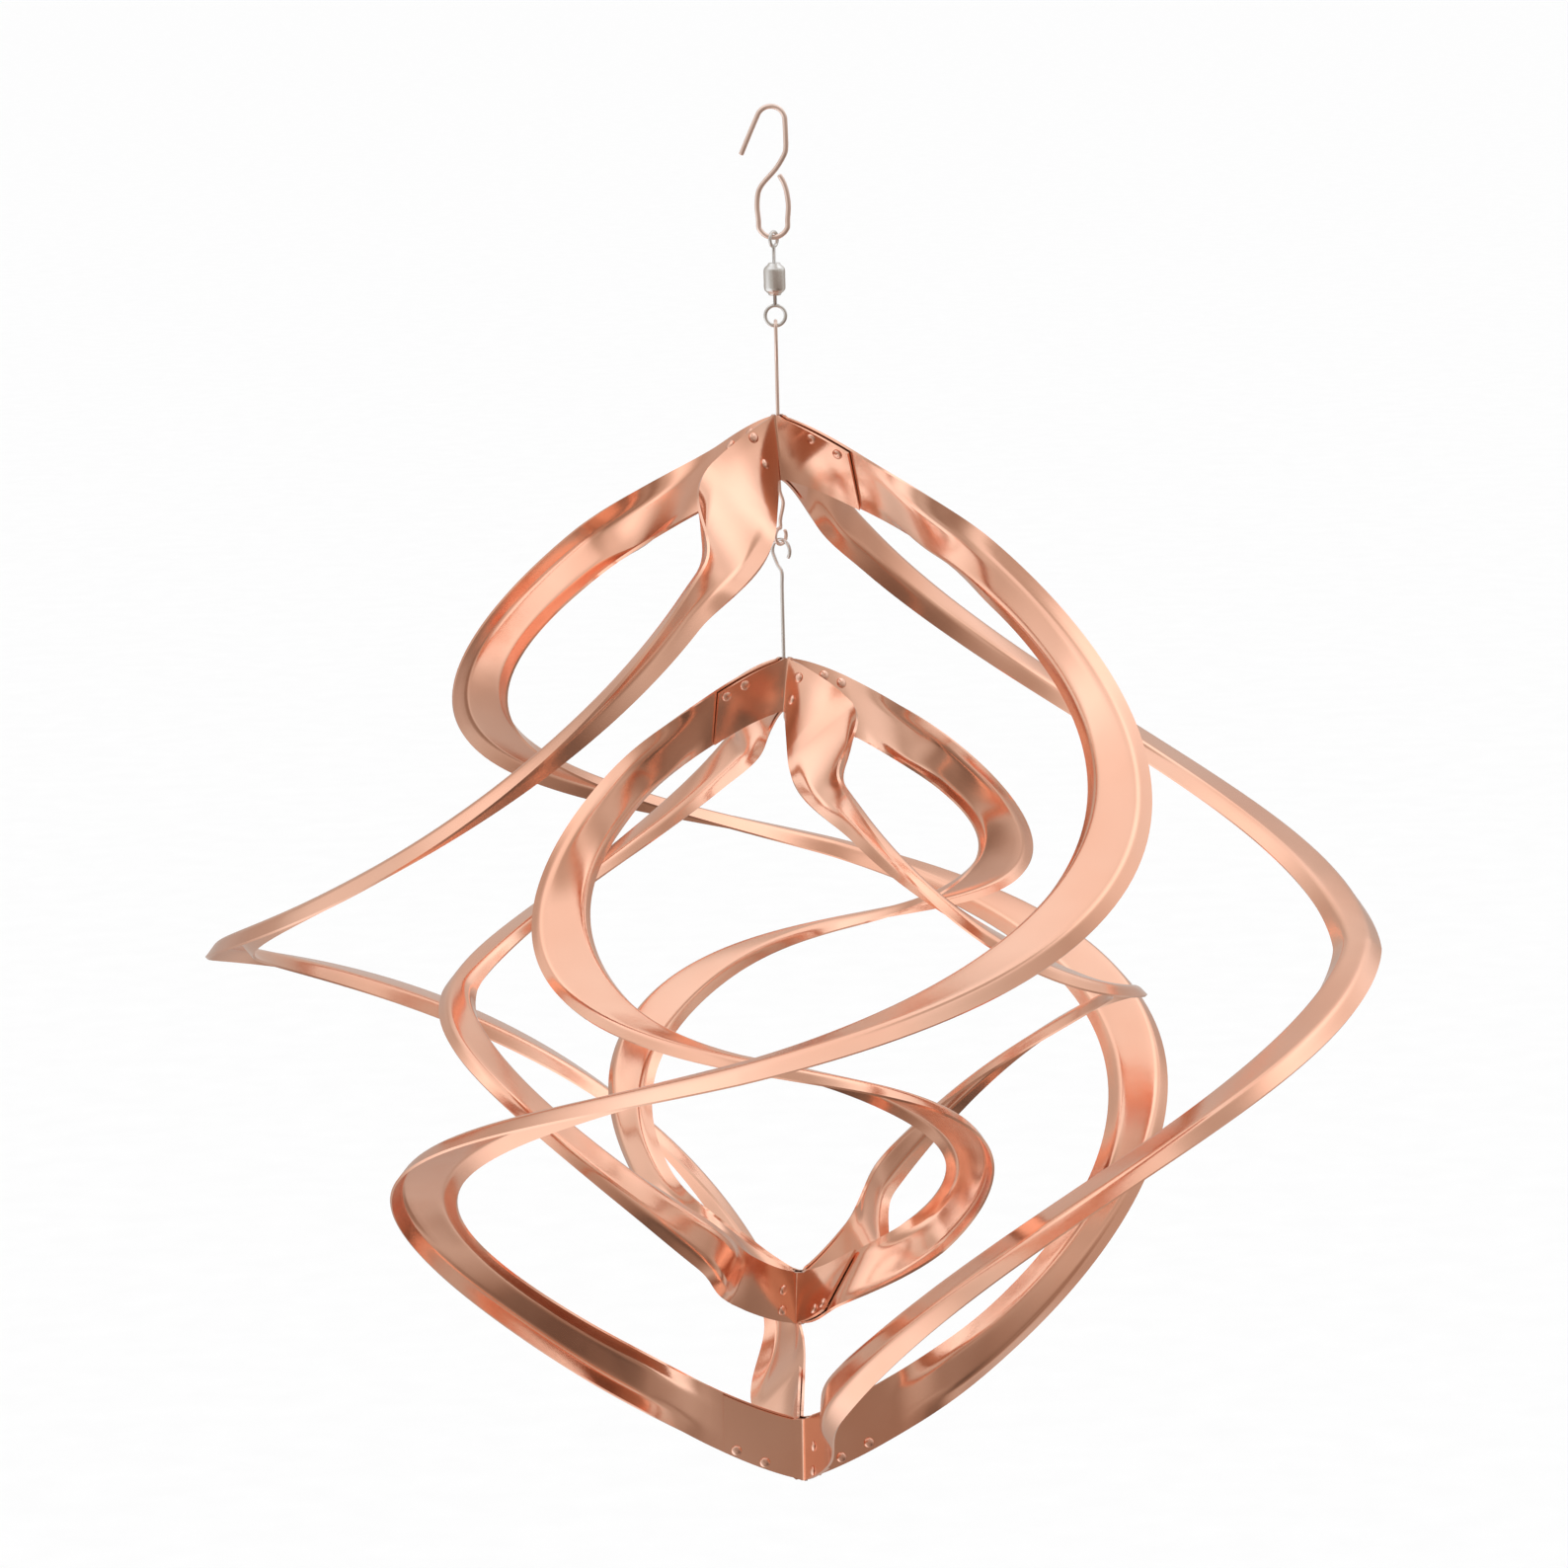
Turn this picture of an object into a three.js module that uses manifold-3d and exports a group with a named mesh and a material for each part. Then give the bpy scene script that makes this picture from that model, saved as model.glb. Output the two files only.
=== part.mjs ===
// Hanging wind spinner: a cage of four twisted sheet-metal ribbons with a smaller,
// oppositely twisted cage inside it, carried by a wire hook, a barrel swivel and two wires.
// Millimetres, +Z up. The origin is where a rail touches the inside of the hook's crown.
import * as THREE from 'three';
import { mergeVertices } from 'three/addons/utils/BufferGeometryUtils.js';
import Module from 'manifold-3d';

const wasm = await Module();
wasm.setup();

// ---------- driving dimensions ----------
const gap = 0.3;              // clearance between neighbouring pieces
const sheet = 0.8;            // ribbon thickness
const hookR = 0.7;            // hook wire radius
const hangerR = 0.5;          // hanger wire radius
const pinR = 0.5;             // swivel ring and stem radius
const wireSides = 8;          // facets round a wire
const roundSides = 20;        // facets round the barrel
const stemSides = 12;         // facets round a swivel stem

// Each cage: edge curves are superellipses in the (radius, height) half-plane, turned
// about the axis as they fall. z is a height above the cage's middle. The end blades are
// bent by hand, so each ribbon has its own turn there: [outer edge, inner edge], degrees.
const outerCage = {
  name: 'outer',
  hand: 1,                    // +1 falls clockwise seen from above
  centreZ: -236.9,            // middle of the cage
  facing: -4.7,               // azimuth shift of the whole cage, degrees
  outR: 165, outH: 152.5, outPower: 1.3,     // outer edge
  inR: 152, inH: 134.5, inPower: 1.3,        // inner edge
  turnScale: 30.2, turnKnee: 0.13,           // degrees, share of the half height
  innerLag: 10.8, innerLead: 20.4,           // extra turn of the inner edge, degrees
  topTurns: [[70, 80], [45, 90], [50, 92], [66, 98]],
  bottomTurns: [[70, 66], [80, 76], [56, 88], [82, 80]],
  flatR: 24, blendR: 62,      // blade edges run straight inside flatR, freely beyond blendR
  lip: 5, lipBend: 45,        // width and bend of the two edge lips
  lipFullR: 46,               // lips grow from nothing at flatR to full bend here
  bladeR: [3, 7, 11, 15, 19, 22.5],          // stations on the blade; the tab reaches the last
  rivets: {                   // distance from the axis, depth under the apex
    stacked: [[11, 5.4], [11, 12.6]],
    slanted: [[11, 5.8], [19, 9.7]],
  },
};
const innerCage = {
  name: 'inner',
  hand: -1,
  centreZ: -247.9,
  facing: -8.9,
  outR: 99.8, outH: 95.5, outPower: 1.4,
  inR: 90.4, inH: 80.5, inPower: 1.33,
  turnScale: 21.7, turnKnee: 0.074,
  innerLag: 17.5, innerLead: 36.4,
  topTurns: [[33, 80], [50, 74], [42, 70], [58, 74]],
  bottomTurns: [[38, 60], [34, 66], [50, 62], [30, 66]],
  flatR: 22, blendR: 50,
  lip: 3.6, lipBend: 45,
  lipFullR: 38,
  bladeR: [3, 7, 12.5, 18, 20.5],
  rivets: {
    stacked: [[7, 5.0], [7, 11.0]],
    slanted: [[12.5, 6.3], [18, 8.9]],
  },
};
const ribbonCount = 4;
const halfStations = 19;      // stations from the middle of a ribbon to its end blade
const stationGap = 4;         // least step from the blade's stations to the next one
const lagKnee = 0.15;         // the inner edge's lag settles within this share of half height
const wellR = hangerR + gap;  // half width of the square hole on the axis
const bladeShift = wellR - gap - sheet / 2;  // end blades pass beside the axis by this much
const shiftFade = 10;         // near the cage's middle the shift fades out over this height

const rivet = { shankR: 0.7, headR: 1.5, headH: 0.7, play: 0.3, sides: 6 };
const rivetHoleLength = 6;    // longer than blade and tab together
const tabMargin = 0.5;        // a tab's edges sit this far inside the blade's

// Heights along the hanging line.
const hookCrownR = 3.9;
const hookLoopR = 4.2;
const loopBottomZ = -35.3;
const upperRingR = 2.0;
const lowerRingR = 2.8;
const barrel = { topZ: -42.3, bottomZ: -51.3, r: 3, endR: 1.7, taper: 1.4, wall: 1.3, boreR: 2.1 };
const headR = 1.6;            // captive head inside the barrel
const headH = 1.4;
const headBevel = 0.4;
const stemReach = 3.3;        // exposed stem between barrel and lower ring
const hangerEye = { halfWidth: 1.6, length: 11 };
const lowEye = { topZ: -115.9, r: 2.3, tilt: 50 };
const innerHook = { r: 3.1, tilt: -40 };

const colours = {
  copper: { color: 0xd9946f, roughness: 0.22, metalness: 1 },
  copperWire: { color: 0xc98a68, roughness: 0.3, metalness: 1 },
  steel: { color: 0x9c9894, roughness: 0.3, metalness: 1 },
};

const group = new THREE.Group();
group.name = 'wind_spinner';
const rad = THREE.MathUtils.degToRad;
const up = new THREE.Vector3(0, 0, 1);

function addPiece(name, geometry, look) {
  const mesh = new THREE.Mesh(geometry, new THREE.MeshStandardMaterial(colours[look]));
  mesh.name = name;
  group.add(mesh);
}

// ---------- solid helpers ----------
function geometryFromRings(rings, closed) {
  // Every ring has the same number of points; neighbouring rings are joined by quads.
  const count = rings[0].length;
  const points = rings.flat();
  const faces = [];
  const spans = closed ? rings.length : rings.length - 1;
  for (let i = 0; i < spans; i += 1) {
    const a = i * count;
    const b = ((i + 1) % rings.length) * count;
    for (let j = 0; j < count; j += 1) {
      const k = (j + 1) % count;
      // Each quad is cut along its shorter diagonal, so parallel sheets stay parallel.
      if (points[a + j].distanceTo(points[b + k]) < points[b + j].distanceTo(points[a + k])) {
        faces.push(a + j, b + j, b + k, a + j, b + k, a + k);
      } else {
        faces.push(a + j, b + j, a + k, b + j, b + k, a + k);
      }
    }
  }
  if (!closed) {
    capEnd(faces, 0, count, true);
    capEnd(faces, (rings.length - 1) * count, count, false);
  }
  const geometry = new THREE.BufferGeometry();
  const flat = points.flatMap((p) => [p.x, p.y, p.z]);
  geometry.setAttribute('position', new THREE.Float32BufferAttribute(flat, 3));
  geometry.setIndex(faces);
  return outwardFacing(geometry);
}

function capEnd(faces, start, count, first) {
  // The ring is folded like a strip: point j faces point count - 1 - j.
  for (let j = 0; j < count / 2 - 1; j += 1) {
    const a = start + j;
    const b = start + j + 1;
    const c = start + count - 2 - j;
    const d = start + count - 1 - j;
    if (first) {
      faces.push(a, b, c, a, c, d);
    } else {
      faces.push(a, c, b, a, d, c);
    }
  }
}

function signedVolume(geometry) {
  const p = geometry.getAttribute('position');
  const index = geometry.getIndex().array;
  const corner = [new THREE.Vector3(), new THREE.Vector3(), new THREE.Vector3()];
  let volume = 0;
  for (let i = 0; i < index.length; i += 3) {
    corner.forEach((v, j) => v.fromBufferAttribute(p, index[i + j]));
    volume += corner[0].dot(corner[1].clone().cross(corner[2])) / 6;
  }
  return volume;
}

function outwardFacing(geometry) {
  if (signedVolume(geometry) < 0) {
    const index = geometry.getIndex().array;
    for (let i = 0; i < index.length; i += 3) {
      [index[i + 1], index[i + 2]] = [index[i + 2], index[i + 1]];
    }
  }
  return geometry;
}

function toManifold(geometry) {
  const clean = geometry.clone();
  clean.deleteAttribute('normal');
  clean.deleteAttribute('uv');
  const merged = mergeVertices(clean, 1e-4);
  return new wasm.Manifold(new wasm.Mesh({
    numProp: 3,
    vertProperties: new Float32Array(merged.getAttribute('position').array),
    triVerts: new Uint32Array(merged.getIndex().array),
  }));
}

function fromManifold(solid) {
  const mesh = solid.getMesh();
  const geometry = new THREE.BufferGeometry();
  geometry.setAttribute('position', new THREE.Float32BufferAttribute(mesh.vertProperties, 3));
  geometry.setIndex(Array.from(mesh.triVerts));
  return geometry;
}

function turned(profile, sides) {
  // A solid of revolution about Z from [radius, z] pairs that start and end on the axis,
  // or from a closed loop of pairs for a hollow piece.
  const points = profile.map(([r, z]) => new THREE.Vector2(r, z));
  const geometry = new THREE.LatheGeometry(points, sides);
  geometry.rotateX(Math.PI / 2);
  geometry.deleteAttribute('normal');
  geometry.deleteAttribute('uv');
  return outwardFacing(mergeVertices(geometry, 1e-4));
}

// ---------- wires ----------
function sweptWire(path, radius, closed = false) {
  // A round wire along a list of points, with its section carried along without twist.
  const count = path.length;
  const tangents = path.map((p, i) => {
    const before = closed ? path[(i - 1 + count) % count] : path[Math.max(i - 1, 0)];
    const after = closed ? path[(i + 1) % count] : path[Math.min(i + 1, count - 1)];
    return after.clone().sub(before).normalize();
  });
  const side = new THREE.Vector3().crossVectors(tangents[0], planeNormal(path)).normalize();
  const rings = path.map((p, i) => {
    side.addScaledVector(tangents[i], -side.dot(tangents[i])).normalize();
    const other = new THREE.Vector3().crossVectors(tangents[i], side);
    const ring = [];
    for (let j = 0; j < wireSides; j += 1) {
      const angle = ((j + 0.5) / wireSides) * 2 * Math.PI;
      const point = p.clone();
      point.addScaledVector(side, radius * Math.cos(angle));
      point.addScaledVector(other, radius * Math.sin(angle));
      ring.push(point);
    }
    return ring;
  });
  return geometryFromRings(rings, closed);
}

function planeNormal(path) {
  // The normal of the plane that the sharpest bend of the wire lies in.
  let widest = new THREE.Vector3();
  for (let i = 1; i < path.length - 1; i += 1) {
    const a = path[i].clone().sub(path[i - 1]).normalize();
    const b = path[i + 1].clone().sub(path[i]).normalize();
    const normal = a.cross(b);
    if (normal.length() > widest.length()) {
      widest = normal;
    }
  }
  return widest.normalize();
}

function arc(centreX, centreZ, radius, fromDeg, toDeg, steps) {
  const points = [];
  for (let i = 0; i <= steps; i += 1) {
    const angle = rad(fromDeg + ((toDeg - fromDeg) * i) / steps);
    points.push([centreX + radius * Math.cos(angle), centreZ + radius * Math.sin(angle)]);
  }
  return points;
}

function inPlane(pairs, azimuthDeg) {
  // [across, z] pairs laid in the upright plane at this azimuth.
  const c = Math.cos(rad(azimuthDeg));
  const s = Math.sin(rad(azimuthDeg));
  return pairs.map(([x, z]) => new THREE.Vector3(x * c, x * s, z));
}

function smoothPath(pairs, steps) {
  const curve = new THREE.CatmullRomCurve3(pairs.map(([x, z]) => new THREE.Vector3(x, 0, z)));
  return curve.getPoints(steps).map((p) => [p.x, p.z]);
}

// ---------- hook ----------
function hangingHook() {
  // The crown's middle span is level, and its inner facet is the seat at z = 0.
  const crownSteps = 11;
  const crownFrom = 153;
  const crownTo = -1;
  const halfStep = rad((crownFrom - crownTo) / crownSteps / 2);
  const facetIn = hookR * Math.cos(Math.PI / wireSides);
  const centreZ = facetIn - hookCrownR * Math.cos(halfStep);
  const crown = arc(0, centreZ, hookCrownR, crownFrom, crownTo, crownSteps);
  const shank = smoothPath([crown[crownSteps], [4, -7.5], [3.9, -11.4], [3.1, -13.4],
    [0.9, -16.7], [-2.7, -20.6], [-3.9, -22.9], [-4.3, -26.8], [-4.0, -30.6]], 20).slice(1);
  const bottom = arc(0, loopBottomZ + hookLoopR, hookLoopR, 190, 350, 8).slice(1, 8);
  const loopUp = smoothPath([[4.0, -30.6], [4.3, -26.8], [3.9, -22.9], [3.1, -20.2],
    [2.1, -18.4]], 8);
  const free = smoothPath([[-8.3, -12.2], [-5.7, -6.3], crown[0]], 4).slice(0, 4);
  return sweptWire(inPlane([...free, ...crown, ...shank, ...bottom, ...loopUp], 0), hookR);
}

// ---------- swivel ----------
function swivelEye(ringZ, ringR, azimuthDeg, stemFromZ, headZ, direction) {
  // A ring with a straight stem, and the head that the barrel holds captive.
  const circle = arc(0, ringZ, ringR, 0, 360, 20).slice(0, 20);
  const ring = toManifold(sweptWire(inPlane(circle, azimuthDeg), pinR, true));
  const nearZ = headZ - (direction * headH) / 2;
  const farZ = headZ + (direction * headH) / 2;
  const stem = toManifold(turned([[0, stemFromZ], [pinR, stemFromZ], [pinR, nearZ],
    [headR, nearZ], [headR, farZ - direction * headBevel], [headR - headBevel, farZ],
    [0, farZ]], stemSides));
  return fromManifold(ring.add(stem));
}

function swivelBarrel() {
  const { topZ, bottomZ, r, endR, taper, wall, boreR } = barrel;
  const hole = pinR + gap;
  return turned([[hole, topZ], [endR, topZ], [r, topZ - taper], [r, bottomZ + taper],
    [endR, bottomZ], [hole, bottomZ], [hole, bottomZ + wall], [boreR, bottomZ + wall],
    [boreR, topZ - wall], [hole, topZ - wall], [hole, topZ]], roundSides);
}

// ---------- hanger wires ----------
function outerHangerWire(eyeTopZ) {
  const { halfWidth, length } = hangerEye;
  const centreZ = eyeTopZ - halfWidth;
  const neckZ = eyeTopZ - length;
  const eye = [[halfWidth, centreZ - 5.5], ...arc(0, centreZ, halfWidth, 0, 180, 6),
    [-halfWidth, centreZ - 4.5], [-halfWidth * 0.6, centreZ - 6.8], [0, neckZ]];
  const apexZ = outerCage.centreZ + outerCage.outH;
  const underZ = outerCage.centreZ + outerCage.inH;
  const line = inPlane(eye, 90);
  line.push(new THREE.Vector3(0, 0, apexZ), new THREE.Vector3(0, 0, underZ - 3));
  line.push(new THREE.Vector3(0.9, 0, underZ - 6.5), new THREE.Vector3(0, 0, lowEye.topZ + 3));
  const loop = arc(0, lowEye.topZ - lowEye.r, lowEye.r, 90, 395, 14);
  return sweptWire([...line, ...inPlane(loop, lowEye.tilt)], hangerR);
}

function innerHangerWire() {
  // The open hook hangs in the lower eye, and the far end is bent over under the joint.
  const seatZ = lowEye.topZ - 2 * lowEye.r + hangerR + gap + hangerR;
  const { r, tilt } = innerHook;
  const hook = arc(0, seatZ - r, r, -35, 205, 11);
  const neckZ = seatZ - 2.9 * r;
  const apexZ = innerCage.centreZ + innerCage.outH;
  const underZ = innerCage.centreZ + innerCage.inH;
  const line = inPlane([...hook, [-1.4, seatZ - 2.3 * r], [0, neckZ]], tilt);
  line.push(new THREE.Vector3(0, 0, apexZ), new THREE.Vector3(0, 0, underZ - 1.5));
  line.push(...inPlane([[0.4, underZ - 2.6], [1.5, underZ - 3.1], [4.5, underZ - 3.1]], tilt));
  return sweptWire(line, hangerR);
}

// ---------- ribbons ----------
function smooth(x, low, high) {
  const s = THREE.MathUtils.clamp((x - low) / (high - low), 0, 1);
  return s * s * (3 - 2 * s);
}

function direction(degrees) {
  return new THREE.Vector3(Math.cos(rad(degrees)), Math.sin(rad(degrees)), 0);
}

function edgePoint(cage, index, inner, share) {
  // share runs from +1 at the top end blade to -1 at the bottom one.
  const reach = inner ? cage.inR : cage.outR;
  const height = inner ? cage.inH : cage.outH;
  const power = inner ? cage.inPower : cage.outPower;
  const last = Math.acos((wellR / reach) ** (power / 2));
  const t = Math.abs(share) * last;
  const r = reach * Math.cos(t) ** (2 / power);
  const z = Math.sign(share) * height * Math.sin(t) ** (2 / power);
  return placeOnBlade(cage, index, inner, r, z);
}

function apexTurn(cage, index, inner, end) {
  const turns = end > 0 ? cage.topTurns : cage.bottomTurns;
  return end * turns[(index + ribbonCount) % ribbonCount][inner ? 1 : 0];
}

function placeOnBlade(cage, index, inner, r, z) {
  const s = z / cage.outH;
  let turn = cage.turnScale * Math.asinh(s / cage.turnKnee);
  if (inner) {
    turn += cage.innerLead * s - cage.innerLag * Math.tanh(s / lagKnee);
  }
  const settled = apexTurn(cage, index, inner, Math.sign(z));
  turn = THREE.MathUtils.lerp(settled, turn, smooth(r, cage.flatR, cage.blendR));
  const shift = bladeShift * Math.tanh(z / shiftFade);
  const point = direction(turn).multiplyScalar(r);
  point.addScaledVector(direction(turn - 90), shift);
  point.z = z;
  return point;
}

function edgeHeight(reach, height, power, r) {
  return height * (1 - (r / reach) ** power) ** (1 / power);
}

function bladeStation(cage, index, end, r) {
  // Both edges of the end blade at one distance from the axis.
  const outZ = end * edgeHeight(cage.outR, cage.outH, cage.outPower, r);
  const innZ = end * edgeHeight(cage.inR, cage.inH, cage.inPower, r);
  return {
    out: placeOnBlade(cage, index, false, r, outZ),
    inn: placeOnBlade(cage, index, true, r, innZ),
  };
}

function withNormals(cage, stations) {
  // The sheet's normal at each edge, and how far the lips are bent.
  const nearest = (i) => stations[THREE.MathUtils.clamp(i, 0, stations.length - 1)];
  return stations.map((s, i) => {
    const across = s.out.clone().sub(s.inn);
    const [outNormal, innNormal] = ['out', 'inn'].map((edge) => {
      const along = nearest(i - 1)[edge].clone().sub(nearest(i + 1)[edge]);
      return across.clone().cross(along).normalize();
    });
    const middle = s.out.clone().add(s.inn).multiplyScalar(0.5);
    const bend = cage.lipBend * smooth(Math.hypot(middle.x, middle.y), cage.flatR, cage.lipFullR);
    return { ...s, outNormal, innNormal, bend };
  });
}

function mainStations(cage, index) {
  // From the top end blade, round the ribbon's middle, to the bottom end blade.
  const top = cage.bladeR.map((r) => bladeStation(cage, index, 1, r));
  const bottom = cage.bladeR.map((r) => bladeStation(cage, index, -1, r)).reverse();
  const round = [];
  for (let i = 0; i <= 2 * halfStations; i += 1) {
    const share = 1 - i / halfStations;
    const out = edgePoint(cage, index, false, share);
    if (Math.hypot(out.x, out.y) > cage.bladeR.at(-1) + stationGap) {
      round.push({ out, inn: edgePoint(cage, index, true, share) });
    }
  }
  return withNormals(cage, [...top, ...round, ...bottom]);
}

function neighbour(cage, index, end) {
  // The ribbon whose end blade carries this ribbon's tab, a quarter turn away.
  return (index + end * cage.hand + ribbonCount) % ribbonCount;
}

function quarterTurn(end) {
  return new THREE.Matrix4().makeRotationZ(rad(end * 90));
}

function tabStations(cage, index, end) {
  // The tab lies on the neighbouring blade, one gap away, and bends round beside the axis.
  const main = mainStations(cage, neighbour(cage, index, end));
  const count = cage.bladeR.length;
  const blade = end > 0 ? main.slice(0, count) : main.slice(-count).reverse();
  const quarter = quarterTurn(end);
  const lift = end * (sheet + gap);
  const tab = blade.map((s) => {
    const [out, inn, outNormal, innNormal] = [s.out, s.inn, s.outNormal, s.innNormal]
      .map((v) => v.clone().applyMatrix4(quarter));
    const across = out.clone().sub(inn).normalize();
    out.addScaledVector(outNormal, lift).addScaledVector(across, -tabMargin);
    inn.addScaledVector(innNormal, lift).addScaledVector(across, tabMargin);
    return { out, inn, outNormal: outNormal.negate(), innNormal: innNormal.negate(), bend: 0 };
  });
  return [...tab.reverse(), cornerStation(cage, index, end)];
}

function cornerStation(cage, index, end) {
  // Where the blade's plane meets the tab's. The normals are long enough to mitre both faces.
  const corner = { bend: 0 };
  [['out', false, cage.outH], ['inn', true, cage.inH]].forEach(([edge, inner, height]) => {
    const blade = direction(apexTurn(cage, index, inner, end) - 90);
    const tabTurn = apexTurn(cage, neighbour(cage, index, end), inner, end) + end * 90;
    const tab = direction(tabTurn - 90);
    const bladeReach = end * bladeShift;
    const tabReach = end * (wellR + sheet / 2);
    const spread = blade.x * tab.y - blade.y * tab.x;
    corner[edge] = new THREE.Vector3(
      (bladeReach * tab.y - tabReach * blade.y) / spread,
      (tabReach * blade.x - bladeReach * tab.x) / spread,
      end * height,
    );
    corner[`${edge}Normal`] = blade.clone().sub(tab).divideScalar(1 - blade.dot(tab));
  });
  return corner;
}

function ribbonRing(cage, s) {
  // Lip, web, lip: four points on each face of the sheet. The lips fall away from the web.
  const across = s.out.clone().sub(s.inn);
  const lipShare = cage.lip / across.length();
  across.normalize();
  const bend = rad(s.bend);
  const normalAt = (share) => s.outNormal.clone().lerp(s.innNormal, share)
    .setLength(s.outNormal.length());
  const rows = [
    [s.out, 0, bend],
    [s.out, lipShare, bend / 2],
    [s.inn, 1 - lipShare, -bend / 2],
    [s.inn, 1, -bend],
  ].map(([edge, share, tilt], i) => {
    const normal = normalAt(share);
    const point = edge.clone();
    if (i === 1 || i === 2) {
      const inward = i === 1 ? -1 : 1;
      point.addScaledVector(across, inward * cage.lip * Math.cos(bend));
      point.addScaledVector(normal.clone().normalize(), cage.lip * Math.sin(bend));
    }
    normal.multiplyScalar(Math.cos(tilt)).addScaledVector(across, Math.sin(tilt));
    return [point, normal];
  });
  const half = sheet / 2;
  const face = rows.map(([p, n]) => p.clone().addScaledVector(n, half));
  const back = rows.map(([p, n]) => p.clone().addScaledVector(n, -half)).reverse();
  return [...face, ...back];
}

function rivetSpot(cage, index, end, [r, depth]) {
  // On the end blade of a ribbon whose middle is at azimuth 0. The neighbour's tab covers it.
  const main = mainStations(cage, index);
  const place = cage.bladeR.indexOf(r);
  const s = end > 0 ? main[place] : main[main.length - 1 - place];
  const high = Math.abs(s.out.z);
  const share = (high - (cage.outH - depth)) / (high - Math.abs(s.inn.z));
  const point = s.out.clone().lerp(s.inn, share);
  const outward = s.outNormal.clone().lerp(s.innNormal, share).setLength(end);
  return { point, outward };
}

function rivetGeometry(spot, long) {
  // Head, shank and head along the outward direction. The shank passes blade and tab.
  const { shankR, headR: hr, headH: hh, play, sides } = rivet;
  const back = -sheet / 2 - play;
  const front = long + play;
  const geometry = turned([[0, back - hh], [hr, back - hh], [hr, back],
    [shankR, back], [shankR, front], [hr, front], [hr, front + hh], [0, front + hh]], sides);
  orient(geometry, spot);
  return geometry;
}

function orient(geometry, spot) {
  const turn = new THREE.Quaternion().setFromUnitVectors(up, spot.outward);
  geometry.applyQuaternion(turn);
  geometry.translate(spot.point.x, spot.point.y, spot.point.z);
}

function stackHeight() {
  // Far face of the tab, measured from the middle of the blade it lies on.
  return sheet / 2 + gap + sheet;
}

function rivetHole(spot) {
  const hole = new THREE.CylinderGeometry(rivet.shankR + rivet.play, rivet.shankR + rivet.play,
    rivetHoleLength, rivet.sides);
  hole.rotateX(Math.PI / 2);
  orient(hole, spot);
  return toManifold(hole);
}

function rivetPlaces(cage, index) {
  // Every other blade has its two rivets one above the other.
  return index % 2 === 0 ? cage.rivets.stacked : cage.rivets.slanted;
}

function buildRibbon(cage, index) {
  // Holes go through the ribbon's own blades and through its tabs on the next blades.
  const strip = [
    ...tabStations(cage, index, 1),
    ...mainStations(cage, index),
    ...tabStations(cage, index, -1).reverse(),
  ];
  const rings = strip.map((s) => ribbonRing(cage, s));
  let solid = toManifold(geometryFromRings(rings, false));
  [1, -1].forEach((end) => {
    const spots = rivetPlaces(cage, index).map((place) => rivetSpot(cage, index, end, place));
    const next = neighbour(cage, index, end);
    rivetPlaces(cage, next).forEach((place) => {
      const spot = rivetSpot(cage, next, end, place);
      spot.point.applyMatrix4(quarterTurn(end));
      spot.outward.applyMatrix4(quarterTurn(end));
      spots.push(spot);
    });
    spots.forEach((spot) => {
      solid = solid.subtract(rivetHole(spot));
    });
  });
  return fromManifold(solid);
}

function placeInCage(geometry, cage, index) {
  // Ribbons are built with their middle at azimuth 0, then mirrored for the other hand.
  if (cage.hand < 0) {
    geometry.scale(1, -1, 1);
    outwardFacing(geometry);
  }
  geometry.rotateZ(rad(cage.facing + 90 * index));
  geometry.translate(0, 0, cage.centreZ);
  return geometry;
}

function buildCage(cage) {
  for (let i = 0; i < ribbonCount; i += 1) {
    const ribbon = placeInCage(buildRibbon(cage, i), cage, i);
    addPiece(`${cage.name}_ribbon_${i + 1}`, ribbon, 'copper');
    [['top', 1], ['bottom', -1]].forEach(([where, end]) => {
      rivetPlaces(cage, i).forEach((place, j) => {
        const body = rivetGeometry(rivetSpot(cage, i, end, place), stackHeight());
        const name = `${cage.name}_${where}_rivet_${2 * i + j + 1}`;
        addPiece(name, placeInCage(body, cage, i), 'copper');
      });
    });
  }
}

// ---------- assembly ----------
const upperRingZ = loopBottomZ + hookR + gap + pinR - upperRingR;
const lowerRingZ = barrel.bottomZ - stemReach - lowerRingR + pinR;
const hangerTopZ = lowerRingZ - lowerRingR + pinR + gap + hangerR;
const headUpZ = barrel.topZ - barrel.wall - gap - headH / 2;
const headLowZ = barrel.bottomZ + barrel.wall + gap + headH / 2;

addPiece('hanging_hook', hangingHook(), 'copperWire');
addPiece('swivel_upper_eye',
  swivelEye(upperRingZ, upperRingR, 60, upperRingZ - upperRingR, headUpZ, -1), 'steel');
addPiece('swivel_barrel', swivelBarrel(), 'steel');
addPiece('swivel_lower_eye',
  swivelEye(lowerRingZ, lowerRingR, 0, lowerRingZ + lowerRingR, headLowZ, 1), 'steel');
addPiece('outer_hanger_wire', outerHangerWire(hangerTopZ), 'copperWire');
addPiece('inner_hanger_wire', innerHangerWire(), 'steel');
buildCage(outerCage);
buildCage(innerCage);

export default group;
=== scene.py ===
"""Looks of a hanging wind spinner: two cages of twisted copper-coloured ribbons on a hook and swivel.

Everything is in metres, +Z up. The origin is where a rail touches the inside of the hook's crown.
Lengths below are written in millimetres and turned into metres when a mesh is made.
"""

import math

import bpy
from mathutils import Matrix, Quaternion, Vector


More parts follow.
